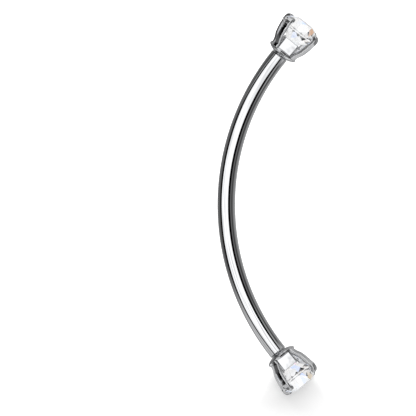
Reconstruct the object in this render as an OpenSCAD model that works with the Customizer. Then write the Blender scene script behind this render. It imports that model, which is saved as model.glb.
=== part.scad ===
// Curved eyebrow barbell with a round stone in a four-prong head at each end.
// It lies on its side on a flat surface, on the middle of the bar and a prong of each head.
// Before it is laid down, the curve is in the XY plane, with its ends on the Y axis and its back to -X.

/* [Bar] */
// Thickness of the bar, 16 gauge
bar_diameter = 1.2; // [1.0:0.05:1.6]
// Straight distance between the centres of the bar's two end faces
bar_length = 20; // [16:0.5:24]
// How far the middle of the curve stands off the line between its ends
bar_rise = 3.6; // [2.5:0.05:4.5]
// Chamfer round each end face
bar_chamfer = 0.05; // [0.02:0.01:0.1]

/* [Post] */
// Thickness of the post that holds a head in the bar
post_diameter = 0.66; // [0.5:0.02:0.7]
// How far the post reaches into the bar
post_length = 1.3; // [0.8:0.1:1.6]
// Space round the post in its bore
post_clearance = 0.03; // [0.02:0.01:0.04]

/* [Flange and cup] */
// Diameter of the dished flange that carries the prongs
flange_diameter = 2.16; // [2.0:0.02:2.3]
// Height from the bar's end to the flange's edge
flange_height = 0.32; // [0.3:0.01:0.5]
// Height of the flange's slanted edge
flange_edge = 0.1; // [0.08:0.01:0.16]
// How far that edge draws in to its top
flange_slant = 0.05; // [0.02:0.01:0.1]
// How far the top of the flange is dished
flange_dish = 0.06; // [0.02:0.01:0.1]
// Width of the square cup under the stone's point
cup_width = 1.14; // [0.96:0.02:1.16]
// Radius of the cup's upright corners
cup_corner = 0.12; // [0.06:0.01:0.2]
// Height of the cup's rim above the bar's end
cup_height = 1.28; // [1.14:0.02:1.28]

/* [Stone] */
// Diameter of the stone at its girdle
stone_diameter = 2.9; // [2.7:0.05:3.1]
// Height of the girdle's lower edge above the bar's end
girdle_seat = 2.12; // [2.02:0.02:2.3]
// Thickness of the girdle
girdle_thickness = 0.07; // [0.05:0.01:0.12]
// Slope of the main facets above the girdle, in degrees
crown_angle = 40; // [34:0.5:42]
// Slope of the main facets below the girdle, in degrees
pavilion_angle = 41; // [40:0.5:43]
// Width of the flat table as a share of the stone's diameter
table_share = 0.5; // [0.48:0.01:0.6]
// Length of the facets beside the table as a share of the way to the girdle
star_share = 0.5; // [0.45:0.01:0.6]
// Length of the facets under the girdle as a share of the way to the point
lower_share = 0.76; // [0.7:0.01:0.8]
// Space between the stone and the metal that holds it
stone_clearance = 0.02; // [0.01:0.005:0.04]

/* [Prongs] */
// Width of a prong
prong_width = 0.4; // [0.36:0.02:0.5]
// Thickness of a prong's leg
prong_thickness = 0.24; // [0.2:0.02:0.32]
// Height of a prong's tip above the stone's girdle
claw_height = 0.45; // [0.38:0.01:0.5]
// How far a claw reaches over the stone from the girdle's edge
claw_reach = 0.22; // [0.18:0.02:0.36]
// Thickness of a prong outside the girdle
claw_thickness = 0.22; // [0.18:0.01:0.3]
// Turn of the upper head about its own axis, in degrees. The lower head is its mirror image
head_turn = 16; // [0:1:24]

/* [Hidden] */
$fn = 96;
steel = [0.78, 0.79, 0.8];
clear = [0.93, 0.95, 0.97, 0.6];

// The curve
bar_radius = bar_diameter / 2;
half_length = bar_length / 2;
curve_radius = (pow(half_length, 2) + pow(bar_rise, 2)) / (2 * bar_rise);
end_angle = asin(half_length / curve_radius);
curve_centre = curve_radius - bar_rise;

// Where a head meets the bar
end_gap = stone_clearance;
bore_radius = post_diameter / 2 + post_clearance;
bore_depth = post_length + 2 * end_gap;
post_top = flange_height / 2;
past = 0.01;

// Heights in a head above the bar's end face, and the rings of the stone's corners
flange_radius = flange_diameter / 2;
neck_radius = bar_radius - bar_chamfer;
foot_ledge = 0.2;
flange_top = flange_height + flange_edge;
stone_radius = stone_diameter / 2;
girdle_top = girdle_seat + girdle_thickness;
table_radius = stone_radius * table_share;
crown_rise = (stone_radius - table_radius) * tan(crown_angle);
pavilion_drop = stone_radius * tan(pavilion_angle);
mains = 8;
half_step = 180 / mains;
quarter_step = half_step / 2;
table_edge = table_radius * cos(half_step);
star_radius = table_edge + (stone_radius - table_edge) * star_share;
star_rise = (stone_radius - star_radius * cos(half_step)) * tan(crown_angle);
lower_radius = stone_radius * (1 - lower_share);
lower_drop = (stone_radius - lower_radius * cos(half_step)) * tan(pavilion_angle);
block = 2 * stone_diameter;

// Slopes of the facets between the main ones
star_angle = atan((crown_rise - star_rise) / (star_radius - table_edge));
upper_half_angle = atan(star_rise / ((stone_radius - star_radius) * cos(quarter_step)));
lower_half_angle = atan(lower_drop / ((stone_radius - lower_radius) * cos(quarter_step)));

// Curves as rows of [share of the way up, share of the way out]
UP = 0;
OUT = 1;
// The flange's round underside, from the bar's edge to its own
flange_curve = [[0, 0], [0.36, 0.55], [0.7, 0.88], [1, 1]];
// A prong's outer edge, from its foot to the girdle
leg_curve = [[0, 0], [0.14, 0.07], [0.24, 0.23], [0.4, 0.54], [0.56, 0.71], [0.72, 0.84], [0.85, 0.9], [0.94, 0.98], [1, 1]];
prong_count = 4;
prong_foot = flange_height;
foot_radius = flange_radius + foot_ledge * prong_thickness;
bend_radius = stone_radius + stone_clearance + claw_thickness;
leg_rise = girdle_seat - prong_foot;
leg_spread = bend_radius - foot_radius;
tip_height = girdle_top + claw_height;
tip_radius = stone_radius - claw_reach;

outer_edge = [
    for (row = leg_curve)
        [foot_radius + row[OUT] * leg_spread, prong_foot + row[UP] * leg_rise]
];
// A claw's edge, from [share of its height above the girdle, share of its reach from tip to bend]
claw_curve = [[0.25, 0.99], [0.5, 0.93], [0.73, 0.81], [0.88, 0.61], [0.98, 0.27], [1, 0.1], [0.9, 0]];
claw_edge = [
    for (row = claw_curve)
        [tip_radius + row[OUT] * (bend_radius - tip_radius), girdle_top + row[UP] * claw_height]
];
inner_edge = [
    for (i = [len(leg_curve) - 1:-1:0])
        [outer_edge[i][0] - prong_thickness, outer_edge[i][1]]
];
prong_outline = concat(outer_edge, claw_edge, [[tip_radius, girdle_seat]], inner_edge);

// How the piece lies: the corners of the prongs that can touch the surface, as [x, y, z] in a head
prong_step = 360 / prong_count;
prong_angles = [for (i = [0:prong_count - 1]) (i + 0.5) * prong_step];
prong_corners = [
    for (angle = prong_angles, corner = concat(outer_edge, claw_edge), side = [-0.5, 0.5])
        [
            corner[0] * cos(angle + head_turn) - side * prong_width * sin(angle + head_turn),
            corner[0] * sin(angle + head_turn) + side * prong_width * cos(angle + head_turn),
            corner[1]
        ]
];

// A point of the upper head, seen from the middle between the bar's ends, as [x, z]. The lower head has the same
function on_end(p) = [p[0] * cos(end_angle) + p[2] * sin(end_angle), -p[1]];

// How far a head reaches in a direction [x, z]: a corner of a prong, or an edge of the stone's girdle
function head_reach(way) =
    max(
        max([for (p = prong_corners) on_end(p) * way]),
        max([for (height = [girdle_seat, girdle_top]) on_end([0, 0, height]) * way])
            + stone_radius * norm([way[0] * cos(end_angle), way[1]])
    );

// How far the bar reaches in a direction that points to its back
function bar_reach(way) = bar_radius - bar_rise * way[0];

// Tilt at which the bar and both heads touch: each step turns by the gap still left
tilt_arm = bar_rise + tip_height * sin(end_angle);
function down_at(tilt) = [-sin(tilt), -cos(tilt)];
function lie(tilt, steps) =
    steps == 0
        ? tilt
        : lie(tilt - atan((bar_reach(down_at(tilt)) - head_reach(down_at(tilt))) / tilt_arm), steps - 1);
lie_steps = 40;
lay_tilt = lie(0, lie_steps);
lay_height = bar_reach(down_at(lay_tilt));
lay_front = [cos(lay_tilt), -sin(lay_tilt)];
front_reach = head_reach(lay_front);
back_reach = bar_reach(-lay_front);

// Lays the finished piece on the surface with the middle of its outline over the origin
module laid_down() {
    translate([(back_reach - front_reach) / 2, 0, lay_height])
        rotate([0, -lay_tilt, 0])
            children();
}

// Puts a head that is built along +Z on the bar's +Y end
module on_bar_end() {
    translate([0, half_length, 0])
        rotate([0, 0, -end_angle])
            rotate([-90, 0, 0])
                children();
}

// The same at the other end
module on_other_end() {
    rotate([180, 0, 0])
        on_bar_end()
            children();
}

module end_bore() {
    translate([0, 0, -bore_depth])
        cylinder(r = bore_radius, h = bore_depth + past);
}

// Takes the edge off an end face, at 45 degrees
module end_chamfer() {
    deep = bar_chamfer + 2 * past;
    translate([0, 0, past - deep])
        difference() {
            cylinder(r = bar_radius + 2 * past, h = deep);
            cylinder(r1 = bar_radius + past, r2 = bar_radius + past - deep, h = deep);
        }
}

module curved_bar() {
    color(steel)
        laid_down()
            difference() {
                translate([curve_centre, 0, 0])
                    rotate([0, 0, 180 - end_angle])
                        rotate_extrude(angle = 2 * end_angle)
                            translate([curve_radius, 0])
                                circle(r = bar_radius);
                on_bar_end() end_bore();
                on_bar_end() end_chamfer();
                on_other_end() end_bore();
                on_other_end() end_chamfer();
            }
}

// The flange, round below with a dished top
module flange() {
    rotate_extrude()
        polygon([
            [0, end_gap],
            for (row = flange_curve)
                [
                    neck_radius + row[OUT] * (flange_radius - neck_radius),
                    end_gap + row[UP] * (flange_height - end_gap)
                ],
            [flange_radius - flange_slant, flange_top],
            [cup_width / 2, flange_top - flange_dish],
            [0, flange_top - flange_dish]
        ]);
}

// The cup, a square post with round upright corners that stands in the dish
module cup() {
    inset = cup_width / 2 - cup_corner;
    tall = cup_height - post_top;
    translate([0, 0, post_top]) {
        for (wide = [[cup_width, 2 * inset], [2 * inset, cup_width]])
            translate([-wide[0] / 2, -wide[1] / 2, 0])
                cube([wide[0], wide[1], tall]);
        for (x = [-inset, inset], y = [-inset, inset])
            translate([x, y, 0])
                cylinder(r = cup_corner, h = tall);
    }
}

module post() {
    translate([0, 0, -post_length])
        cylinder(d = post_diameter, h = post_length + post_top);
}

module prongs() {
    for (angle = prong_angles)
        rotate([0, 0, angle])
            rotate([90, 0, 0])
                linear_extrude(height = prong_width, center = true)
                    polygon(prong_outline);
}

// The room that the stone takes, with its clearance
module stone_room() {
    reach = stone_clearance;
    rotate_extrude()
        polygon([
            [0, girdle_seat - pavilion_drop - reach / cos(pavilion_angle)],
            [stone_radius + reach, girdle_seat - reach],
            [stone_radius + reach, girdle_top + reach],
            [star_radius + reach, girdle_top + star_rise + reach],
            [0, girdle_top + crown_rise + block]
        ]);
}

module setting() {
    difference() {
        union() {
            post();
            flange();
            cup();
            prongs();
        }
        stone_room();
    }
}

// A ring of facets that lean by slope and pass a given distance out at height 0, as a pyramid from below
module facet_ring(azimuth, distance, slope) {
    base_radius = distance + block / tan(slope);
    rotate([0, 0, azimuth + half_step])
        translate([0, 0, -block])
            cylinder(r1 = base_radius / cos(half_step), r2 = 0, h = base_radius * tan(slope), $fn = mains);
}

// The main facets and the two rings between them, on one side of the girdle
module girdle_facets(main_angle, half_angle) {
    intersection() {
        facet_ring(0, stone_radius, main_angle);
        facet_ring(quarter_step, stone_radius * cos(quarter_step), half_angle);
        facet_ring(-quarter_step, stone_radius * cos(quarter_step), half_angle);
    }
}

module brilliant() {
    intersection() {
        translate([0, 0, girdle_seat - pavilion_drop])
            cylinder(r = stone_radius, h = pavilion_drop + girdle_thickness + crown_rise);
        translate([0, 0, girdle_top])
            girdle_facets(crown_angle, upper_half_angle);
        translate([0, 0, girdle_top + crown_rise])
            facet_ring(half_step, table_edge, star_angle);
        translate([0, 0, girdle_seat])
            rotate([180, 0, 0])
                girdle_facets(pavilion_angle, lower_half_angle);
    }
}

module upper_setting() {
    color(steel) laid_down() on_bar_end() rotate([0, 0, head_turn]) setting();
}

module upper_stone() {
    color(clear) laid_down() on_bar_end() rotate([0, 0, head_turn]) brilliant();
}

module lower_setting() {
    color(steel) laid_down() on_other_end() rotate([0, 0, -head_turn]) setting();
}

module lower_stone() {
    color(clear) laid_down() on_other_end() rotate([0, 0, -head_turn]) brilliant();
}

curved_bar();
upper_setting();
upper_stone();
lower_setting();
lower_stone();
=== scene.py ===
import math

import bpy
import numpy as np
from bpy.props import FloatProperty, FloatVectorProperty, IntProperty, PointerProperty
from bpy.types import Operator, Panel, PropertyGroup
from mathutils import Matrix, Vector


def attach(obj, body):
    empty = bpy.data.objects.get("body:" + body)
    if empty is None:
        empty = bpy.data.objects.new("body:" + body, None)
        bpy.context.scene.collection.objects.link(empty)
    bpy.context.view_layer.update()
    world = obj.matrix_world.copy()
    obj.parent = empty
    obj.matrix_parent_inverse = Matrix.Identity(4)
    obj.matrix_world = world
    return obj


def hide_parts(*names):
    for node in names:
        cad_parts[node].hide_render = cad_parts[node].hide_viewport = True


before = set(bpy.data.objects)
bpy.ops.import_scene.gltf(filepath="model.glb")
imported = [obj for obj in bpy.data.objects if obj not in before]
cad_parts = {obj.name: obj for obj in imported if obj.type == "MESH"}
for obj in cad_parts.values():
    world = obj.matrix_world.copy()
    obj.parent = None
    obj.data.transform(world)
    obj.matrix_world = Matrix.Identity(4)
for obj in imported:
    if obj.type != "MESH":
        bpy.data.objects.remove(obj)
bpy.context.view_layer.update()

bl_info = {
    "name": "Curved eyebrow barbell",
    "version": (1, 0, 0),
    "blender": (4, 5, 0),
    "location": "View3D > Sidebar > Barbell",
    "description": "Makes a curved barbell with a four-prong stone head at each end, and its studio",
    "category": "Add Mesh",
}

MM = 0.001
BODY = "root"
SURFACE_MAP = "surface"
# The barbell's two ends: name, side of the bar's middle
ENDS = (("upper", 1), ("lower", -1))


# Sizes and colours that a user would change


def length(name, description, millimetres, lowest=0.0):
    """A length property in metres, from its default in millimetres."""
    return FloatProperty(
        name=name,
        description=description,
        default=millimetres * MM,
        min=lowest,
        precision=5,
        subtype="DISTANCE",
        unit="LENGTH",
    )


def share(name, description, default):
    """A property from 0 to 1."""
    return FloatProperty(
        name=name, description=description, default=default, min=0.0, max=1.0, subtype="FACTOR"
    )


def number(name, description, default, lowest=0.0):
    """A plain number property."""
    return FloatProperty(name=name, description=description, default=default, min=lowest)


def degrees(name, description, default):
    """An angle property, from its default in degrees."""
    return FloatProperty(
        name=name,
        description=description,
        default=math.radians(default),
        subtype="ANGLE",
        unit="ROTATION",
    )


def colour(name, description, *default):
    """A colour property."""
    return FloatVectorProperty(
        name=name,
        description=description,
        default=default,
        size=3,
        min=0.0,
        max=1.0,
        subtype="COLOR",
    )


class BarbellBarSizes(PropertyGroup):
    """The curved bar and how it lies."""

    thickness: length("Thickness", "Diameter of the 16 gauge bar", 1.2)
    span: length("Length", "Straight distance between the bar's two end faces", 20.0)
    rise: length("Rise", "How far the middle of the curve stands off the line between its ends", 3.6)
    chamfer: length("End chamfer", "Chamfer round each end face", 0.05)
    bore: length("Bore", "Diameter of the bore that each post goes into", 0.72)
    bore_depth: length("Bore depth", "How deep each bore is", 1.34)
    tilt: degrees("Tilt", "How far the curve's plane leans as the barbell lies", 10.0838)
    forward: length("Forward", "How far the ends' middle lies from the outline's middle", 0.766204)
    height: length("Height", "How high the middle between the ends lies above the floor", 1.23032)


class BarbellHeadSizes(PropertyGroup):
    """The flange, cup and prongs of a head, in heights above the bar's end face."""

    flange: length("Flange", "Diameter of the dished flange", 2.16)
    flange_height: length("Flange height", "Height of the flange's lower edge", 0.32)
    flange_edge: length("Flange edge", "Height of the flange's slanted edge", 0.1)
    flange_slant: length("Flange slant", "How far that edge draws in to its top", 0.05)
    dish: length("Dish", "How far the top of the flange is dished", 0.06)
    neck: length("Neck", "Diameter of the flange where it meets the bar's end", 1.1)
    cup: length("Cup", "Width of the square cup under the stone", 1.14)
    cup_corner: length("Cup corner", "Radius of the cup's upright corners", 0.12)
    cup_height: length("Cup height", "Height of the cup's rim", 1.28)
    post: length("Post", "Diameter of the post in the bar", 0.66)
    post_length: length("Post length", "How far the post reaches into the bar", 1.3)
    gap: length("Gap", "Gap between the head and the bar, and between the head and the stone", 0.02)
    prong_width: length("Prong width", "Width of a prong", 0.4)
    prong: length("Prong", "Thickness of a prong's leg", 0.24)
    prong_bend: length("Prong bend", "How far a prong stands from the axis beside the girdle", 1.69)
    claw_height: length("Claw height", "Height of a prong's tip above the stone's girdle", 0.45)
    claw_reach: length("Claw reach", "How far a claw reaches over the stone", 0.22)
    turn: degrees("Turn", "Turn of the upper head about its axis, which the lower one mirrors", 16.0)


class BarbellStoneSizes(PropertyGroup):
    """The round brilliant-cut stone."""

    diameter: length("Diameter", "Diameter at the girdle", 2.9)
    seat: length("Seat", "Height of the girdle's lower edge above the bar's end", 2.12)
    girdle: length("Girdle", "Thickness of the girdle at its 16 thickest places", 0.07)
    crown: degrees("Crown angle", "Slope of the main facets above the girdle", 40.0)
    pavilion: degrees("Pavilion angle", "Slope of the main facets below the girdle", 41.0)
    table: share("Table", "Width of the table as a share of the diameter", 0.5)
    star: share("Star", "Length of the facets beside the table as a share of the way out", 0.5)
    lower: share("Lower halves", "Length of the facets under the girdle as a share of the way in", 0.76)
    mains: IntProperty(
        name="Main facets",
        description="Number of main facets round the stone",
        default=8,
        min=6,
        max=12,
    )


class BarbellFinish(PropertyGroup):
    """Colours and polish."""

    steel: colour("Steel", "Colour of the polished steel", 0.62, 0.625, 0.635)
    steel_line: colour("Polishing lines", "Colour of the bar in its polishing lines", 0.42, 0.425, 0.435)
    head_steel: colour("Head steel", "Colour of the tumbled steel of the heads", 0.6, 0.605, 0.615)
    head_line: colour("Head lines", "Colour of the heads in their tumbling marks", 0.36, 0.365, 0.375)
    bar_roughness: share("Bar roughness", "Roughness of the polished bar", 0.035)
    head_roughness: share("Head roughness", "Roughness of the tumbled heads", 0.025)
    stone: colour("Stone", "Colour of the clear stone", 0.985, 0.99, 1.0)
    # Painted fire: pale blue and warm tints in the stone's colour that stand in for the spectral colours
    # of its light
    painted_fire: share("Fire", "Strength of the spectral tints in the stone", 0.5)


class BarbellStudio(PropertyGroup):
    """The floor, the lights and the camera."""

    floor: colour("Floor", "Colour of the floor", 0.45, 0.45, 0.45)
    floor_radius: length("Floor radius", "Radius of the round floor", 800.0)
    floor_glow: share("Floor glow", "Light that the floor gives off in the shadow's area", 0.38)
    floor_white: number("Floor white", "Light that the floor gives off everywhere else", 1.05)
    shade_x: length("Shadow X", "Where the middle of the shadow's area lies across the barbell", 1.8)
    shade_y: length("Shadow Y", "Where that middle lies along the barbell", -14.2, lowest=-1.0)
    shade_inner: length("Shadow inside", "Radius up to which the floor glows faintly", 2.2)
    shade_outer: length("Shadow outside", "Radius from which the floor glows white", 4.2)
    lamp: number("Lamp", "Strength of the lamp that lays the lower head's shadow", 4.4)
    lamp_away: length("Lamp distance", "How far the lamp stands from the barbell's middle", 300.0)
    lamp_height: degrees("Lamp height", "How high the lamp stands over the floor", 56.0)
    lamp_aside: degrees("Lamp aside", "How far the lamp stands from the barbell's line to its front", 9.0)
    lamp_wide: degrees("Lamp width", "How wide the lamp looks from the floor, across the barbell", 96.0)
    lamp_high: degrees("Lamp depth", "How wide the lamp looks from the floor, along the barbell", 14.0)
    light: number("Light", "Brightness of the wide soft light over the barbell", 1.7)
    light_lean: degrees("Light lean", "How far the light's middle leans to the bar's back", 20.5)
    light_wide: degrees("Light width", "How wide the soft light is across the barbell", 77.0)
    light_long: degrees("Light length", "How wide the soft light is along the barbell", 48.0)
    light_shear: number("Light shear", "How much longer the light is for each step to its front", 0.12)
    frame_narrow: number("Frame narrowing", "How many times narrower the black frame's ends are", 2.7, 1.0)
    lens: number("Lens", "Focal length in millimetres", 500.0, 50.0)
    frame_width: length("Frame width", "Width of the picture where the bar is", 27.985)
    aim_right: length("Aim right", "Picture's centre to the right of the ends' middle", -4.780, -1.0)
    aim_up: length("Aim up", "Picture's centre above the ends' middle", -0.272, -1.0)
    roll: degrees("Roll", "How far the barbell is turned in the picture", 0.25)


SETTINGS = {
    "barbell_bar": BarbellBarSizes,
    "barbell_head": BarbellHeadSizes,
    "barbell_stone": BarbellStoneSizes,
    "barbell_finish": BarbellFinish,
    "barbell_studio": BarbellStudio,
}


# Where things are


def turned(axis, angle):
    """A 4 by 4 matrix that turns about X, Y or Z, as numpy."""
    return np.array(Matrix.Rotation(angle, 4, axis))


def moved(x, y, z):
    """A 4 by 4 matrix that moves, as numpy."""
    return np.array(Matrix.Translation((x, y, z)))


def laid_down(bar):
    """From the upright curve, in the XY plane with its ends on the Y axis, to where the barbell lies."""
    return moved(bar.forward, 0, bar.height) @ turned("Y", -bar.tilt)


def curve_of(bar):
    """The bar's radius of curvature and half the angle that it spans.

    They are those of the circle through both ends and the top of the rise.
    """
    radius = ((bar.span / 2) ** 2 + bar.rise**2) / (2 * bar.rise)
    return radius, math.asin(bar.span / 2 / radius)


def head_place(bar, head, side):
    """From a head built along +Z, with the bar's end face at 0, to where it lies.

    side is 1 for the +Y end and -1 for the other.
    """
    _, end_angle = curve_of(bar)
    on_end = moved(0, bar.span / 2, 0) @ turned("Z", -end_angle) @ turned("X", -math.pi / 2)
    other = turned("X", 0 if side > 0 else math.pi)
    return laid_down(bar) @ other @ on_end @ turned("Z", side * head.turn)


def placed(points, place):
    """Points of any array shape, moved by a 4 by 4 matrix."""
    return points @ place[:3, :3].T + place[:3, 3]


# Curves and surfaces as whole arrays


def full_turn(count):
    """Angles of count points round a circle."""
    return np.linspace(0, 2 * math.pi, count, endpoint=False)


def smooth_line(points, count):
    """A Catmull-Rom curve through points.

    Between two points it is a cubic, whose slope at each is half the step from the point before it to
    the one after it.
    """
    p = np.asarray(points, float)
    p = np.vstack((2 * p[0] - p[1], p, 2 * p[-1] - p[-2]))
    along = np.linspace(0, len(p) - 3, count)
    i = np.minimum(along.astype(int), len(p) - 4)
    f = (along - i)[:, None]
    a, b, c, d = (p[i + k] for k in range(4))
    return (2 * b + (c - a) * f + (2 * a - 5 * b + 4 * c - d) * f**2 + (3 * b - a - 3 * c + d) * f**3) / 2


def rounded_line(points, reach, steps=5):
    """A line of straight runs whose inner corners are rounded.

    Each corner becomes a parabola from a point that lies reach before it to one that lies reach after
    it. A further point on each run, a quarter of reach away, keeps the run flat.
    """
    p = np.asarray(points, float)
    before, corner, after = p[:-2], p[1:-1], p[2:]
    reach = np.broadcast_to(np.asarray(reach, float), (len(corner),))[:, None]

    def towards(end):
        step = end - corner
        return step / np.linalg.norm(step, axis=1, keepdims=True)

    start, stop = corner + towards(before) * reach, corner + towards(after) * reach
    t = np.linspace(0, 1, steps)[None, :, None]
    arcs = (1 - t) ** 2 * start[:, None] + 2 * t * (1 - t) * corner[:, None] + t**2 * stop[:, None]
    further = reach[:, None] * 0.25
    lead_in = start[:, None] + towards(before)[:, None] * further
    lead_out = stop[:, None] + towards(after)[:, None] * further
    bends = np.concatenate((lead_in, arcs, lead_out), axis=1)
    return np.vstack((p[:1], bends.reshape(-1, 2), p[-1:]))


def ring_surface(rings):
    """Corners, faces and surface map of a closed surface through rings of points.

    rings is an array (rings, points round, 3). Faces of four corners join each ring to the next, and
    fans close the first and last ring to their middles. The map has the distance along in millimetres,
    which grows from ring to ring by the longer of two steps, that of the first point and that of the
    ring's middle, and the share of the way round.
    """
    count, around = rings.shape[:2]
    poles = rings[[0, -1]].mean(axis=1)
    corners = np.vstack((rings.reshape(-1, 3), poles))
    middles = np.vstack((poles[0], rings.mean(axis=1), poles[1]))
    seam = np.vstack((poles[0], rings[:, 0], poles[1]))
    steps = [np.linalg.norm(np.diff(line, axis=0), axis=1) for line in (seam, middles)]
    along = np.concatenate(([0], np.cumsum(np.maximum(*steps)))) / MM

    i, j = np.meshgrid(np.arange(count - 1), np.arange(around), indexing="ij")
    k = (j + 1) % around
    quads = np.stack((i * around + j, i * around + k, (i + 1) * around + k, (i + 1) * around + j), axis=-1)
    quad_along = np.stack((along[i + 1], along[i + 1], along[i + 2], along[i + 2]), axis=-1)
    quad_round = np.stack((j, j + 1, j + 1, j), axis=-1) / around

    j = np.arange(around)
    k = (j + 1) % around
    last = (count - 1) * around
    start_fan = np.stack((np.full(around, count * around), k, j), axis=-1)
    end_fan = np.stack((np.full(around, count * around + 1), last + j, last + k), axis=-1)
    start_along = np.broadcast_to([along[0], along[1], along[1]], (around, 3))
    end_along = np.broadcast_to([along[-1], along[-2], along[-2]], (around, 3))
    start_round = np.stack((j + 0.5, j + 1, j), axis=-1) / around
    end_round = np.stack((j + 0.5, j, j + 1), axis=-1) / around

    faces = quads.reshape(-1, 4).tolist() + start_fan.tolist() + end_fan.tolist()
    maps = ((quad_along, quad_round), (start_along, start_round), (end_along, end_round))
    uv = np.vstack([np.stack(pair, axis=-1).reshape(-1, 2) for pair in maps])
    return corners, faces, uv


def joined_surfaces(surfaces):
    """Several surfaces as one list of corners, faces and map."""
    corners, faces, uv, first = [], [], [], 0
    for more_corners, more_faces, more_uv in surfaces:
        faces += [[first + v for v in face] for face in more_faces]
        first += len(more_corners)
        corners.append(more_corners)
        uv.append(more_uv)
    return np.vstack(corners), faces, np.vstack(uv)


def volume_of(corners, faces):
    """Signed volume inside the faces: a sixth of the sum of the triple products of their fans' corners."""
    triangles = np.array([(f[0], f[n], f[n + 1]) for f in faces for n in range(1, len(f) - 1)])
    a, b, c = (corners[triangles[:, n]] for n in range(3))
    return np.einsum("ij,ij->i", a, np.cross(b, c)).sum() / 6


def outward(surface):
    """The surface with its faces turned if its volume is negative, as they then point inwards.

    A turned face keeps its first corner, and its map turns with it.
    """
    corners, faces, uv = surface
    if volume_of(corners, faces) > 0:
        return surface
    sizes = [len(face) for face in faces]
    first = np.concatenate(([0], np.cumsum(sizes)[:-1]))
    order = [start + np.array([0, *range(size - 1, 0, -1)]) for start, size in zip(first, sizes)]
    return corners, [[face[0], *face[:0:-1]] for face in faces], uv[np.concatenate(order)]


def make_piece(name, surface, materials, replaced, sharp=None, shares=None):
    """A finished piece that rides on the barbell and stands for a CAD node.

    Its volume has to be positive. sharp is the angle from which an edge stays sharp, or None where all
    faces are flat, and shares says which of the materials each face has.
    """
    corners, faces, uv = surface
    assert volume_of(corners, faces) > 0, f"{name} is inside out"
    mesh = bpy.data.meshes.new(name)
    mesh.from_pydata(corners.tolist(), [], faces)
    if uv is not None:
        layer = mesh.uv_layers.new(name=SURFACE_MAP)
        layer.data.foreach_set("uv", uv.astype(np.float32).ravel())
    for material in materials:
        mesh.materials.append(material)
    if shares is not None:
        mesh.polygons.foreach_set("material_index", shares)
    if sharp is None:
        mesh.shade_flat()
    else:
        mesh.shade_smooth()
        mesh.set_sharp_from_angle(angle=sharp)
    mesh.validate()
    mesh.update()
    piece = bpy.data.objects.new(name, mesh)
    bpy.context.scene.collection.objects.link(piece)
    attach(piece, BODY)
    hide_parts(replaced)


# The bar


def bar_rings(bar, along=240, around=96):
    """The bar: circles of its radius round points on the curve, whose planes stand across it.

    At each end they narrow over the chamfer to the end face, and then go down the bore to its floor.
    """
    curve_radius, half_angle = curve_of(bar)
    radius = bar.thickness / 2
    inset = bar.chamfer / curve_radius
    curve = np.linspace(-half_angle + inset, half_angle - inset, along)
    # Past each end of the curve: how far in along the end's own direction, and the radius there.
    # A ring close beside each edge keeps it crisp.
    face = radius - bar.chamfer
    lip = bar.bore / 2
    crisp = 0.01 * MM
    end_rows = np.array([
        [0.0, face + crisp / 2],
        [0.0, face - crisp],
        [0.0, lip + crisp],
        [0.0, lip],
        [crisp, lip],
        [bar.bore_depth - crisp, lip],
        [bar.bore_depth, lip],
        [bar.bore_depth, lip - crisp],
    ])
    at_end = np.full(len(end_rows), half_angle)
    angles = np.concatenate((-at_end, curve, at_end))
    inward = np.concatenate((end_rows[::-1, 0], np.zeros(along), -end_rows[:, 0]))
    radii = np.concatenate((end_rows[::-1, 1], np.full(along, radius), end_rows[:, 1]))
    out = np.stack((-np.cos(angles), np.sin(angles), np.zeros_like(angles)), axis=-1)
    ahead = np.stack((np.sin(angles), np.cos(angles), np.zeros_like(angles)), axis=-1)
    up = np.array([0.0, 0.0, 1.0])
    centre = np.array([curve_radius - bar.rise, 0, 0])
    middle = centre + out * curve_radius + ahead * inward[:, None]
    turn = full_turn(around)[None, :, None]
    ring = np.cos(turn) * out[:, None] + np.sin(turn) * up
    return placed(middle[:, None] + ring * radii[:, None, None], laid_down(bar))


# The heads

# Under the flange, from its neck to its edge, as rows of (share of the way up, share of the way out)
UNDER_FLANGE = ((0, 0), (0.36, 0.55), (0.7, 0.88), (1, 1))
# The cup's wall and rounded rim, as rows of (share of the cup's width, millimetres below the rim)
CUP_RIM = ((1.0, 0.06), (1.0, 0.025), (0.99, 0.008), (0.965, 0.0))
# The stone's seat inside the rim, as shares of the cup's width
CUP_SEAT = (0.93, 0.86, 0.6, 0.2)
# A prong's outer edge from its foot to the girdle, as rows of (share of the way up, share of the way out)
LEG_CURVE = (
    (0, 0), (0.14, 0.07), (0.24, 0.23), (0.4, 0.54), (0.56, 0.71), (0.72, 0.84), (0.85, 0.9),
    (0.94, 0.98), (1, 1),
)
# Its claw's outer edge from the girdle to the tip, as such rows, with the tip at 0 out
CLAW_CURVE = ((0.25, 0.99), (0.5, 0.93), (0.73, 0.81), (0.88, 0.61), (0.98, 0.27), (0.97, 0.06))
# Where the claw's inner edge has points over the crown, as shares of the claw's reach
CLAW_STEPS = (0.0, 0.08, 0.3, 0.55, 0.8, 0.98)


def lathe_rings(profile, place, around=96):
    """A turned shape: each point of the profile, [distance from the axis, height], goes round the axis."""
    turn = full_turn(around)
    ring = np.stack((np.cos(turn), np.sin(turn), np.zeros_like(turn)), axis=-1)
    out, up = profile[:, 0], profile[:, 1]
    return placed(ring * out[:, None, None] + np.array([0, 0, 1.0]) * up[:, None, None], place)


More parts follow.
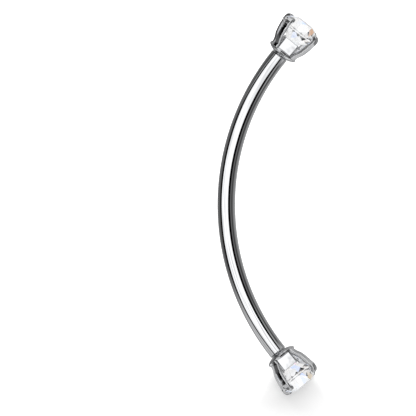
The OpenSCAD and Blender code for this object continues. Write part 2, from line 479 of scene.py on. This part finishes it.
def flange_profile(head):
    """Profile of the post, the round flange and its dish, from the post's end to the dish's middle.

    The post and the flange's top are straight runs with rounded corners, and the smooth line between
    them is the flange's underside.
    """
    neck = head.neck / 2
    flange = head.flange / 2
    post = head.post / 2
    lift = head.flange_height - head.gap
    smooth = smooth_line(UNDER_FLANGE, 14)
    under = np.stack((neck + smooth[:, 1] * (flange - neck), head.gap + smooth[:, 0] * lift), axis=-1)
    top = head.flange_height + head.flange_edge
    # How far each corner's rounding reaches: at the post's end and root, and from the flange to its dish
    below_reach = (0.04 * MM, 0.004 * MM)
    above_reach = (0.015 * MM, 0.02 * MM, 0.02 * MM)
    below = rounded_line(
        [[0, -head.post_length], [post, -head.post_length], [post, head.gap], [neck, head.gap]],
        below_reach,
    )
    above = rounded_line(
        [
            under[-2],
            [flange, head.flange_height],
            [flange - head.flange_slant, top],
            [head.cup / 2, top - head.dish],
            [0, top - head.dish],
        ],
        above_reach,
    )
    return np.vstack((below[1:-1], under[:-2], above[:-1]))


def cup_rings(head, stone, place, around=96):
    """The cup: a square with round corners, carried up from the flange, over its rim and down the seat.

    At each angle round a corner's circle the point is that circle's, and the four circles' middles
    stand an inset from the axis. The seat is a cone that lies the gap under the stone's lower facets.
    """
    slope = math.tan(stone.pavilion)
    seat_point = stone.seat - stone.diameter / 2 * slope - head.gap / math.cos(stone.pavilion)
    inset = head.cup / 2 - head.cup_corner
    quarter = np.arange(around) * 4 // around
    start = quarter * math.pi / 2
    turn = start + (full_turn(around) - start) * around / (around - 4)
    middle = math.pi / 4 + start
    flat = math.sqrt(2) * inset * np.stack((np.cos(middle), np.sin(middle)), axis=-1)
    flat = flat + head.cup_corner * np.stack((np.cos(turn), np.sin(turn)), axis=-1)
    reach = np.linalg.norm(flat, axis=-1)
    top = head.cup_height
    wall = [(1.0, head.flange_height)] + [(share_out, top - depth * MM) for share_out, depth in CUP_RIM]
    rows = [np.column_stack((flat * share_out, np.full(around, height))) for share_out, height in wall]
    for share_out in CUP_SEAT:
        height = np.minimum(seat_point + share_out * reach * slope, top)
        rows.append(np.column_stack((flat * share_out, height)))
    return placed(np.array(rows), place)


def prong_edges(head, stone, along):
    """A prong's outer and inner edge as curves of points (distance from the head's axis, height).

    Up the leg they are the leg's thickness apart, and the foot stands a little out of the flange. From
    just under the girdle the inner one follows the stone up the crown, with its gap.
    """
    # Shares of the leg's thickness that the foot stands out of the flange, and of the claw's height that
    # the stone's notch starts under the girdle
    foot_out, notch_under = 0.2, 0.1
    foot = head.flange / 2 + foot_out * head.prong
    spread = head.prong_bend - foot
    rise = stone.seat - head.flange_height
    leg = np.array([(foot + out * spread, head.flange_height + up * rise) for up, out in LEG_CURVE])
    radius = stone.diameter / 2
    girdle = stone.seat + stone.girdle
    tip = radius - head.claw_reach
    bend = head.prong_bend - tip
    claw = np.array([(tip + out * bend, girdle + up * head.claw_height) for up, out in CLAW_CURVE])
    inner_leg = leg - [head.prong, 0]
    inner_leg[-1] = (radius + head.gap, stone.seat - notch_under * head.claw_height)
    over = np.array(CLAW_STEPS) * head.claw_reach
    on_crown = np.column_stack(
        (radius + head.gap - over, girdle + over * math.tan(stone.crown) + head.gap)
    )
    return smooth_line(np.vstack((leg, claw)), along), smooth_line(np.vstack((inner_leg, on_crown)), along)


def closing(way, reach):
    """Share of the full size at a way from an end: a quarter circle up to reach, and 1 past it.

    It is never under the least share, so that the end stays a small face.
    """
    least = 0.02
    return np.sqrt(np.clip(1 - (1 - np.minimum(way / reach, 1)) ** 2, least**2, 1))


def prong_rings(head, stone, angle, place, along=84, around=40):
    """A prong: rounded rectangles carried from foot to claw.

    At each place one pair of sides lies on the inner and outer edge and the other is half the width to
    each side: the cosine and sine, each to a power well under 1, are the shares of the way to them. The
    rectangles shrink to the ends over a quarter circle, and narrow a little along the claw.
    """
    foot_share, tip_share = 0.015, 0.09
    claw_start, claw_narrowing = 0.55, 0.12
    roundness = 0.4
    outer, inner = prong_edges(head, stone, along)
    middle, half = (outer + inner) / 2, (outer - inner) / 2
    way = np.linspace(0, 1, along)
    close = np.minimum(closing(way, foot_share), closing(1 - way, tip_share))
    taper = 1 - claw_narrowing * np.clip((way - claw_start) / (1 - claw_start), 0, 1) ** 2
    turn = full_turn(around)
    across = np.sign(np.cos(turn)) * np.abs(np.cos(turn)) ** roundness
    aside = np.sign(np.sin(turn)) * np.abs(np.sin(turn)) ** roundness
    out_up = middle[:, None] + half[:, None] * (across[:, None] * close[:, None, None])
    sideways = head.prong_width / 2 * (taper * close)[:, None] * aside
    out, up = out_up[..., 0], out_up[..., 1]
    c, s = math.cos(angle), math.sin(angle)
    return placed(np.stack((out * c - sideways * s, out * s + sideways * c, up), axis=-1), place)


# The stones


def brilliant(stone, place):
    """A round brilliant, and which of its two materials each face has: the girdle has the second.

    Each ring of corners has a distance out, a height and azimuths: table, star points, both edges of
    the girdle, lower points and culet. Facets join them. The round girdle cuts the facets beside it, so
    that height falls off there with the cosine of the angle from the facet's middle.
    """
    mains = stone.mains
    step = 2 * math.pi / mains
    radius = stone.diameter / 2
    table = radius * stone.table
    table_edge = table * math.cos(step / 2)
    star = table_edge + (radius - table_edge) * stone.star
    star_rise = (radius - star * math.cos(step / 2)) * math.tan(stone.crown)
    crown_rise = (radius - table) * math.tan(stone.crown)
    lower = radius * (1 - stone.lower)
    lower_drop = (radius - lower * math.cos(step / 2)) * math.tan(stone.pavilion)
    drop = radius * math.tan(stone.pavilion)
    top = stone.seat + stone.girdle
    # Steps of the round edge along each of the facets that meet it from one side
    per = 6
    count = mains * 2 * per

    def ring(out, height, start, number_round):
        a = start + 2 * math.pi * np.arange(number_round) / number_round
        return np.stack((out * np.cos(a), out * np.sin(a), np.broadcast_to(height, a.shape)), axis=-1)

    quarter = step / 4
    lean_up = star_rise / ((radius - star) * math.cos(quarter))
    lean_down = lower_drop / ((radius - lower) * math.cos(quarter))
    a = step * 0.5 * (np.arange(count) % per) / per - quarter
    sag = radius * (np.cos(a) - math.cos(quarter))
    corners = np.vstack(
        (
            ring(table, top + crown_rise, 0, mains),
            ring(star, top + star_rise, step / 2, mains),
            ring(radius, top - sag * lean_up, 0, count),
            ring(radius, stone.seat + sag * lean_down, 0, count),
            ring(lower, stone.seat - lower_drop, step / 2, mains),
            [[0, 0, stone.seat - drop]],
        )
    )
    # Where each ring's corners start in that list
    stars, upper_edge = mains, 2 * mains
    lower_edge = upper_edge + count
    lowers = lower_edge + count
    culet = lowers + mains

    k = np.arange(mains)
    after, before = (k + 1) % mains, (k - 1) % mains
    first = 2 * per * k
    right = (first[:, None] + np.arange(per + 1)) % count
    left = (right + per) % count
    crown = [list(range(mains))]
    crown += np.stack((k, stars + k, after), axis=-1).tolist()
    crown += np.stack((k, stars + before, upper_edge + first, stars + k), axis=-1).tolist()
    for half in (right, left):
        crown += np.hstack((stars + k[:, None], upper_edge + half)).tolist()
    j = np.arange(count)
    m = (j + 1) % count
    girdle = np.stack((upper_edge + m, upper_edge + j, lower_edge + j, lower_edge + m), axis=-1).tolist()
    pavilion = []
    for half in (right, left):
        pavilion += np.hstack((lowers + k[:, None], (lower_edge + half)[:, ::-1])).tolist()
    down = (np.full(mains, culet), lowers + k, lower_edge + first, lowers + before)
    pavilion += np.stack(down, axis=-1).tolist()
    shares = np.repeat((0, 1, 0), (len(crown), len(girdle), len(pavilion)))
    return (placed(corners, place), crown + girdle + pavilion, None), shares


# Shader nodes


def linked(tree, kind, values=None, **sockets):
    """A new node of a kind, with its own values set, and its inputs set or linked.

    An input goes by its name, with underscores for spaces, or by an underscore and its number.
    """
    node = tree.nodes.new(kind)
    for name, value in (values or {}).items():
        setattr(node, name, value)
    for name, value in sockets.items():
        socket = node.inputs[int(name[1:])] if name[0] == "_" else node.inputs[name.replace("_", " ")]
        if isinstance(value, bpy.types.NodeSocket):
            tree.links.new(value, socket)
        else:
            socket.default_value = value
    return node


def maths(tree, operation, *inputs):
    """The result of a Math node."""
    sockets = {f"_{n}": value for n, value in enumerate(inputs)}
    return linked(tree, "ShaderNodeMath", {"operation": operation}, **sockets).outputs[0]


def vector_maths(tree, operation, first, second):
    """The value that a Vector Math node gives for two vectors."""
    node = linked(tree, "ShaderNodeVectorMath", {"operation": operation}, _0=first, _1=second)
    return node.outputs["Value"]


def ranged(tree, value, low, high, to_low=0.0, to_high=1.0, kind="SMOOTHSTEP"):
    """A value carried from the range low to high to another range, and held at its ends."""
    node = linked(
        tree, "ShaderNodeMapRange", {"interpolation_type": kind},
        Value=value, _1=low, _2=high, _3=to_low, _4=to_high,
    )
    return node.outputs["Result"]


def mixed(tree, factor, first, second):
    """The colour at a factor between two colours."""
    return linked(
        tree, "ShaderNodeMix", {"data_type": "RGBA"}, _0=factor, _6=first, _7=second
    ).outputs[2]


def ramp_of(tree, value, stops):
    """A Color Ramp with stops of (position, grey or colour)."""
    node = linked(tree, "ShaderNodeValToRGB", None, Fac=value)
    elements = node.color_ramp.elements
    while len(elements) > 1:
        elements.remove(elements[-1])
    for n, (place, shade) in enumerate(stops):
        element = elements[0] if n == 0 else elements.new(place)
        element.position = place
        shade = (shade,) * 3 if isinstance(shade, (int, float)) else tuple(shade)
        element.color = (*shade, 1.0)
    return node.outputs["Color"]


# Materials


def polishing_lines():
    """Node group: fine lines that polishing leaves along a surface, and soft haze.

    It reads a surface map: distance along in millimetres, and the share of the way round. The lines are
    a noise at the cosine and sine of the way round, each times the number of lines, and at the distance
    along over their length. The haze is a plain noise.
    """
    name = "Polishing lines"
    if name in bpy.data.node_groups:
        return bpy.data.node_groups[name]
    tree = bpy.data.node_groups.new(name, "ShaderNodeTree")
    sockets = tree.interface.new_socket
    sockets("Surface", in_out="INPUT", socket_type="NodeSocketVector")
    sockets("Place", in_out="INPUT", socket_type="NodeSocketVector")
    sockets("Lines Round", in_out="INPUT", socket_type="NodeSocketFloat").default_value = 6.0
    sockets("Line Length", in_out="INPUT", socket_type="NodeSocketFloat").default_value = 4.0
    sockets("Lines", in_out="OUTPUT", socket_type="NodeSocketFloat")
    sockets("Haze", in_out="OUTPUT", socket_type="NodeSocketFloat")
    given = tree.nodes.new("NodeGroupInput").outputs
    out = tree.nodes.new("NodeGroupOutput")
    parts = linked(tree, "ShaderNodeSeparateXYZ", None, Vector=given["Surface"]).outputs
    turn = maths(tree, "MULTIPLY", parts["Y"], 2 * math.pi)
    across = maths(tree, "MULTIPLY", maths(tree, "COSINE", turn), given["Lines Round"])
    over = maths(tree, "MULTIPLY", maths(tree, "SINE", turn), given["Lines Round"])
    along = maths(tree, "DIVIDE", parts["X"], given["Line Length"])
    place = linked(tree, "ShaderNodeCombineXYZ", None, X=across, Y=over, Z=along).outputs[0]
    fine = linked(tree, "ShaderNodeTexNoise", None, Vector=place, Scale=1.0, Detail=3.0, Roughness=0.6)
    # The noise stays mostly near a half, so its upper part makes lines with plain steel between them
    lines = ranged(tree, fine.outputs["Fac"], 0.44, 0.66)
    tree.links.new(lines, out.inputs["Lines"])
    haze = linked(
        tree, "ShaderNodeTexNoise", None, Vector=given["Place"], Scale=900.0, Detail=2.0, Roughness=0.5
    )
    tree.links.new(haze.outputs["Fac"], out.inputs["Haze"])
    return tree


def new_material(name):
    """A new material with its node tree and its Principled BSDF's inputs."""
    material = bpy.data.materials.new(name)
    material.use_nodes = True
    tree = material.node_tree
    return material, tree, tree.nodes["Principled BSDF"].inputs


def steel(name, plain, line, roughness, lines_round, line_length):
    """Polished steel: the colour and roughness follow fine polishing lines, and haze varies the roughness.

    The lines are also a very low relief.
    """
    material, tree, shader = new_material(name)
    shader["Metallic"].default_value = 1.0
    shader["IOR"].default_value = 2.5
    surface = linked(tree, "ShaderNodeUVMap", {"uv_map": SURFACE_MAP}).outputs["UV"]
    place = tree.nodes.new("ShaderNodeTexCoord").outputs["Object"]
    group = linked(
        tree, "ShaderNodeGroup", {"node_tree": polishing_lines()},
        Surface=surface, Place=place, Lines_Round=lines_round, Line_Length=line_length,
    )
    lines, haze = group.outputs["Lines"], group.outputs["Haze"]
    tree.links.new(mixed(tree, lines, (*plain, 1), (*line, 1)), shader["Base Color"])
    hazy = ranged(tree, haze, 0.3, 0.7, roughness * 0.7, roughness * 1.4, kind="LINEAR")
    rough = maths(tree, "ADD", hazy, maths(tree, "MULTIPLY", lines, roughness))
    tree.links.new(rough, shader["Roughness"])
    bump = linked(tree, "ShaderNodeBump", {"invert": True}, Strength=0.4, Distance=0.3e-6, Height=lines)
    tree.links.new(bump.outputs["Normal"], shader["Normal"])
    return material


def clear_stone(name, finish):
    """Clear stone: very slightly rough glass of a high index, with painted fire: its colour drifts a
    little over it.
    """
    material, tree, shader = new_material(name)
    shader["Metallic"].default_value = 0.0
    shader["Roughness"].default_value = 0.045
    shader["IOR"].default_value = 1.8
    shader["Transmission Weight"].default_value = 1.0
    place = tree.nodes.new("ShaderNodeTexCoord").outputs["Object"]
    # Painted fire: a noise drifts the colour between pale blue and warm tints, standing in for spectral
    # light
    painted_dispersion_noise = linked(tree, "ShaderNodeTexNoise", None, Vector=place, Scale=1400.0, Detail=1.0)
    tint = ramp_of(
        tree, painted_dispersion_noise.outputs["Fac"],
        (
            (0.0, (0.80, 0.90, 1.0)),
            (0.36, (0.93, 0.97, 1.0)),
            (0.5, 1.0),
            (0.62, (1.0, 0.985, 0.96)),
            (1.0, (1.0, 0.9, 0.8)),
        ),
    )
    tree.links.new(mixed(tree, finish.painted_fire, (*finish.stone, 1), tint), shader["Base Color"])
    return material


def ground_girdle(name, finish):
    """The stone's ground girdle: the same glass, finely frosted."""
    material = clear_stone(name, finish)
    tree = material.node_tree
    place = tree.nodes.new("ShaderNodeTexCoord").outputs["Object"]
    grain = linked(tree, "ShaderNodeTexNoise", None, Vector=place, Scale=30000.0, Detail=2.0)
    rough = ranged(tree, grain.outputs["Fac"], 0.3, 0.7, 0.25, 0.45, kind="LINEAR")
    tree.links.new(rough, tree.nodes["Principled BSDF"].inputs["Roughness"])
    return material


def floor_paper(studio):
    """The floor: it glows white by itself but round the lower head, so that this alone lays a shadow."""
    material, tree, shader = new_material("floor")
    shader["Base Color"].default_value = (*studio.floor, 1)
    shader["Roughness"].default_value = 0.9
    shader["Specular IOR Level"].default_value = 0.0
    shader["Emission Color"].default_value = (1, 1, 1, 1)
    place = tree.nodes.new("ShaderNodeTexCoord").outputs["Object"]
    away = vector_maths(tree, "DISTANCE", place, (studio.shade_x, studio.shade_y, 0))
    glow = ranged(
        tree, away, studio.shade_inner, studio.shade_outer, studio.floor_glow, studio.floor_white
    )
    tree.links.new(glow, shader["Emission Strength"])
    return material


# The world round the barbell

# The soft light's edge and its black frame, as rows of (degrees from the light, grey)
LIGHT_EDGE = ((0, 1.0), (1, 0.95), (4, 0.02), (5, 0.0))
# The grey room beyond the frame, as such rows: to the right, and at the right's two ends
ROOM_RIGHT = (
    (27, 0.0), (38, 0.16), (44, 0.14), (52, 0.03), (58, 0.04), (68, 0.1), (88, 0.24), (108, 0.3),
    (180, 0.34),
)
ROOM_RIGHT_ENDS = (
    (25, 0.0), (34, 0.3), (43, 0.4), (51, 0.16), (59, 0.05), (68, 0.05), (92, 0.18), (116, 0.27),
    (180, 0.33),
)
# To the left: beside the barbell's upper half, past that half's tip, and beside its lower half
ROOM_LEFT_ABOVE = ((24, 0.0), (34, 0.1), (60, 0.12), (90, 0.2), (180, 0.33))
ROOM_LEFT_TIP = (
    (10, 0.0), (23, 0.02), (30, 0.38), (34, 0.38), (40, 0.06), (60, 0.07), (90, 0.16), (180, 0.33),
)
ROOM_LEFT_BELOW = ((13, 0.02), (21, 0.2), (30, 0.5), (60, 0.47), (90, 0.35), (180, 0.35))
# The room's two end walls, as rows of (degrees round the barbell's line, grey)
END_ABOVE = (
    (-180, 0.28), (-120, 0.25), (-95, 0.6), (-20, 0.7), (20, 0.7), (60, 0.5), (130, 0.4), (180, 0.28),
)
END_BELOW = (
    (-180, 0.6), (-150, 0.8), (-128, 0.8), (-112, 0.12), (-60, 0.14), (-40, 0.6), (60, 0.6),
    (120, 0.5), (180, 0.6),
)
# What shows through the stones, as rows of (degrees from the light, grey or colour)
THROUGH_STONES = (
    (0, 0.95), (6, 0.9), (9, (0.85, 0.7, 0.6)), (13, 0.45), (17, (0.5, 0.6, 0.85)), (24, 0.72),
    (50, 0.68), (80, 0.48), (110, 0.62), (140, 0.53), (160, 0.64), (180, 0.6),
)
# Coloured glints in the stones, as rows of (direction, degrees across, colour)
GLINTS = (
    ((-0.06, -0.19, -0.98), 20, (0.42, 0.5, 0.74)),
    ((-0.5, 0.33, -0.8), 28, (0.4, 0.23, 0.13)),
    ((-0.44, -0.26, -0.86), 22, (0.36, 0.26, 0.12)),
    ((-0.2, -0.5, -0.84), 17, (0.75, 0.45, 0.62)),
    ((-0.5, -0.52, -0.69), 22, (0.4, 0.4, 0.41)),
)


def rising(tree, angle, low, high):
    """A factor that rises from 0 to 1 as an angle goes from low to high, which are in degrees."""
    return ranged(tree, angle, math.radians(low), math.radians(high))


def way_in_room(tree, way, studio):
    """Where a direction points in the room: longitude, upward, latitude and far.

    The longitude runs round the barbell's line and upward is the angle along it. The light is a box in
    longitude and latitude, and far is the distance from that box as a share of 180 degrees: the root of
    the squares of how far the two are outside it, the second times how much narrower the frame is there.
    The bar's ends lean towards the camera, so what they mirror lies further along the barbell to the
    right: the latitude is upward's size less a share of the longitude, which is held within 60 degrees.
    """
    parts = linked(tree, "ShaderNodeSeparateXYZ", None, Vector=way).outputs
    longitude = maths(tree, "ARCTAN2", parts["X"], parts["Z"])
    upward = maths(tree, "ARCSINE", parts["Y"])
    most = math.radians(60)
    beside = maths(tree, "MAXIMUM", maths(tree, "MINIMUM", longitude, most), -most)
    latitude = maths(tree, "MULTIPLY_ADD", beside, -studio.light_shear, maths(tree, "ABSOLUTE", upward))
    aside = maths(tree, "ABSOLUTE", maths(tree, "SUBTRACT", longitude, -studio.light_lean))
    aside = maths(tree, "MAXIMUM", maths(tree, "SUBTRACT", aside, studio.light_wide / 2), 0.0)
    ahead = maths(tree, "MAXIMUM", maths(tree, "SUBTRACT", latitude, studio.light_long / 2), 0.0)
    ahead = maths(tree, "MULTIPLY", ahead, studio.frame_narrow)
    squares = maths(tree, "ADD", maths(tree, "POWER", aside, 2.0), maths(tree, "POWER", ahead, 2.0))
    far = maths(tree, "DIVIDE", maths(tree, "SQRT", squares), math.pi)
    return longitude, upward, latitude, far


def room_round_metal(tree, longitude, upward, latitude, far):
    """What the steel mirrors: the light, its frame and the room's sides, which blend into each other."""

    def side(stops):
        return ramp_of(tree, far, [(d / 180, shade) for d, shade in LIGHT_EDGE + stops])

    def end(stops):
        turn = maths(tree, "MULTIPLY_ADD", longitude, 0.5 / math.pi, 0.5)
        return ramp_of(tree, turn, [(d / 360 + 0.5, shade) for d, shade in stops])

    right = mixed(tree, rising(tree, latitude, 18, 32), side(ROOM_RIGHT), side(ROOM_RIGHT_ENDS))
    above = mixed(tree, rising(tree, upward, 20, 27), side(ROOM_LEFT_ABOVE), side(ROOM_LEFT_TIP))
    left = mixed(tree, rising(tree, upward, -30, -12), side(ROOM_LEFT_BELOW), above)
    seen = mixed(tree, rising(tree, longitude, -25, -15), left, right)
    seen = mixed(tree, rising(tree, upward, 41, 45), seen, end(END_ABOVE))
    return mixed(tree, rising(tree, upward, -45, -41), end(END_BELOW), seen)


def room_through_stones(tree, way, far):
    """What the stones show: paler greys by the distance from the light, and the glints.

    A glint has its full colour over half its width, and fades to its edge.
    """
    seen = ramp_of(tree, far, [(d / 180, shade) for d, shade in THROUGH_STONES])
    for direction, wide, tint in GLINTS:
        off = maths(tree, "ARCCOSINE", vector_maths(tree, "DOT_PRODUCT", way, direction))
        seen = mixed(tree, rising(tree, off, wide / 2, wide / 4), seen, (*tint, 1))
    return seen


# Operators


def settings_of(context):
    """The scene's settings of the bar, heads, stones, finish and studio, in the order of SETTINGS."""
    return [getattr(context.scene, name) for name in SETTINGS]


def keep_out_of_mirrors(thing):
    """Keeps a thing out of what the steel mirrors and what the stones bend."""
    thing.visible_glossy = False
    thing.visible_transmission = False


class BARBELL_OT_bar(Operator):
    """Make the curved polished bar with a bore in each end"""

    bl_idname = "barbell.bar"
    bl_label = "Curved bar"

    def execute(self, context):
        bar, _, _, finish, _ = settings_of(context)
        metal = steel(
            "polished bar steel", finish.steel, finish.steel_line, finish.bar_roughness,
            lines_round=7.0, line_length=5.0,
        )
        surface = ring_surface(bar_rings(bar))
        make_piece("polished_bar", surface, [metal], "curved_bar", sharp=math.radians(30))
        return {"FINISHED"}


class BARBELL_OT_settings(Operator):
    """Make both heads' metal: post, flange, cup and four prongs"""

    bl_idname = "barbell.settings"
    bl_label = "Prong settings"

    def execute(self, context):
        bar, head, stone, finish, _ = settings_of(context)
        metal = steel(
            "tumbled head steel", finish.head_steel, finish.head_line, finish.head_roughness,
            lines_round=9.0, line_length=1.5,
        )
        profile = flange_profile(head)
        for end, side in ENDS:
            place = head_place(bar, head, side)
            rings = [lathe_rings(profile, place), cup_rings(head, stone, place)]
            rings += [prong_rings(head, stone, (n + 0.5) * math.pi / 2, place) for n in range(4)]
            surface = joined_surfaces([outward(ring_surface(more)) for more in rings])
            make_piece(
                f"{end}_head_metal", surface, [metal], f"{end}_setting",
                sharp=math.radians(38),
            )
        return {"FINISHED"}


class BARBELL_OT_stones(Operator):
    """Make both round brilliant-cut stones"""

    bl_idname = "barbell.stones"
    bl_label = "Brilliant stones"

    def execute(self, context):
        bar, head, stone, finish, _ = settings_of(context)
        materials = [clear_stone("clear stone", finish), ground_girdle("ground girdle", finish)]
        for end, side in ENDS:
            surface, shares = brilliant(stone, head_place(bar, head, side))
            make_piece(
                f"{end}_brilliant", surface, materials, f"{end}_stone", shares=shares
            )
        return {"FINISHED"}


class BARBELL_OT_studio(Operator):
    """Make the floor, the soft light, the shadow's lamp and the camera"""

    bl_idname = "barbell.studio"
    bl_label = "Studio"

    def execute(self, context):
        scene = context.scene
        bar, _, _, _, studio = settings_of(context)
        self.make_floor(scene, studio)
        self.make_light(scene, studio)
        self.make_lamp(scene, studio)
        self.make_camera(scene, bar, studio)
        scene.view_settings.view_transform = "Standard"
        scene.view_settings.look = "None"
        return {"FINISHED"}

    def make_floor(self, scene, studio):
        """A flat disc at height 0: one face round a circle of points."""
        turn = full_turn(96)
        circle = np.stack((np.cos(turn), np.sin(turn), np.zeros_like(turn)), axis=-1)
        mesh = bpy.data.meshes.new("floor")
        mesh.from_pydata((circle * studio.floor_radius).tolist(), [], [list(range(len(circle)))])
        mesh.materials.append(floor_paper(studio))
        floor = bpy.data.objects.new("floor", mesh)
        scene.collection.objects.link(floor)
        keep_out_of_mirrors(floor)

    def make_light(self, scene, studio):
        """The world: a wide soft light over the barbell, with a black frame round it in a grey room.

        Rays that have passed a stone see a paler room, and the camera sees plain white.
        """
        world = bpy.data.worlds.new("studio")
        scene.world = world
        world.use_nodes = True
        tree = world.node_tree
        way = tree.nodes.new("ShaderNodeTexCoord").outputs["Generated"]
        longitude, upward, latitude, far = way_in_room(tree, way, studio)
        mirrored = room_round_metal(tree, longitude, upward, latitude, far)
        through = room_through_stones(tree, way, far)
        path = tree.nodes.new("ShaderNodeLightPath").outputs
        passed = maths(tree, "GREATER_THAN", path["Transmission Depth"], 0.5)
        white = (1.0 / studio.light,) * 3
        seen = mixed(tree, passed, mirrored, through)
        seen = mixed(tree, path["Is Camera Ray"], seen, (*white, 1))
        background = tree.nodes["Background"].inputs
        tree.links.new(seen, background["Color"])
        background["Strength"].default_value = studio.light

    def make_lamp(self, scene, studio):
        """A wide lamp high over the upper head's side, which lays the lower head's shadow.

        It is an ellipse at a distance, wide across the barbell so that the shadow spreads sideways. It
        lights the floor alone, as polished steel and clear stone show only what they mirror and bend.
        """
        away = studio.lamp_away
        lamp = bpy.data.lights.new("shadow lamp", "AREA")
        lamp.shape = "ELLIPSE"
        lamp.size = 2 * away * math.tan(studio.lamp_wide / 2)
        lamp.size_y = 2 * away * math.tan(studio.lamp_high / 2)
        lamp.energy = studio.lamp * math.pi * away**2
        rig = bpy.data.objects.new("shadow lamp", lamp)
        scene.collection.objects.link(rig)
        keep_out_of_mirrors(rig)
        height, aside = studio.lamp_height, studio.lamp_aside
        flat = math.cos(height)
        towards = Vector((flat * math.sin(aside), flat * math.cos(aside), math.sin(height)))
        facing = towards.to_track_quat("Z", "Y").to_matrix().to_4x4()
        rig.matrix_world = Matrix.Translation(towards * away) @ facing

    def make_camera(self, scene, bar, studio):
        """A long lens that looks straight down, with the picture's centre aside of the ends' middle.

        Its distance is the picture's width over the angle that the sensor spans.
        """
        flat, along, back = Vector((1, 0, 0)), Vector((0, 1, 0)), Vector((0, 0, 1))
        right = flat * math.cos(studio.roll) + along * math.sin(studio.roll)
        up = along * math.cos(studio.roll) - flat * math.sin(studio.roll)
        data = bpy.data.cameras.new("camera")
        data.lens = studio.lens
        distance = studio.frame_width / 2 / (data.sensor_width / 2 / data.lens)
        data.clip_start, data.clip_end = distance / 100, distance * 10
        camera = bpy.data.objects.new("camera", data)
        scene.collection.objects.link(camera)
        aim = Vector(laid_down(bar)[:3, 3]) + right * studio.aim_right + up * studio.aim_up
        facing = Matrix((right, up, back)).transposed().to_4x4()
        camera.matrix_world = Matrix.Translation(aim + back * distance) @ facing
        scene.camera = camera


OPERATORS = (BARBELL_OT_bar, BARBELL_OT_settings, BARBELL_OT_stones, BARBELL_OT_studio)


class BARBELL_PT_panel(Panel):
    """Lists the barbell's settings and operators."""

    bl_idname = "BARBELL_PT_panel"
    bl_label = "Curved eyebrow barbell"
    bl_space_type = "VIEW_3D"
    bl_region_type = "UI"
    bl_category = "Barbell"

    def draw(self, context):
        for name, group in SETTINGS.items():
            box = self.layout.box()
            box.label(text=group.__doc__)
            for prop in group.__annotations__:
                box.prop(getattr(context.scene, name), prop)
        for operator in OPERATORS:
            self.layout.operator(operator.bl_idname)


CLASSES = (*SETTINGS.values(), *OPERATORS, BARBELL_PT_panel)


def register():
    """Registers the classes and puts the settings on the scene."""
    for cls in CLASSES:
        bpy.utils.register_class(cls)
    for name, group in SETTINGS.items():
        setattr(bpy.types.Scene, name, PointerProperty(type=group))


def unregister():
    """Takes away what register added."""
    for name in SETTINGS:
        delattr(bpy.types.Scene, name)
    for cls in reversed(CLASSES):
        bpy.utils.unregister_class(cls)


def main():
    """Makes every piece and the studio."""
    register()
    bpy.ops.barbell.bar()
    bpy.ops.barbell.settings()
    bpy.ops.barbell.stones()
    bpy.ops.barbell.studio()


if __name__ == "__main__":
    main()
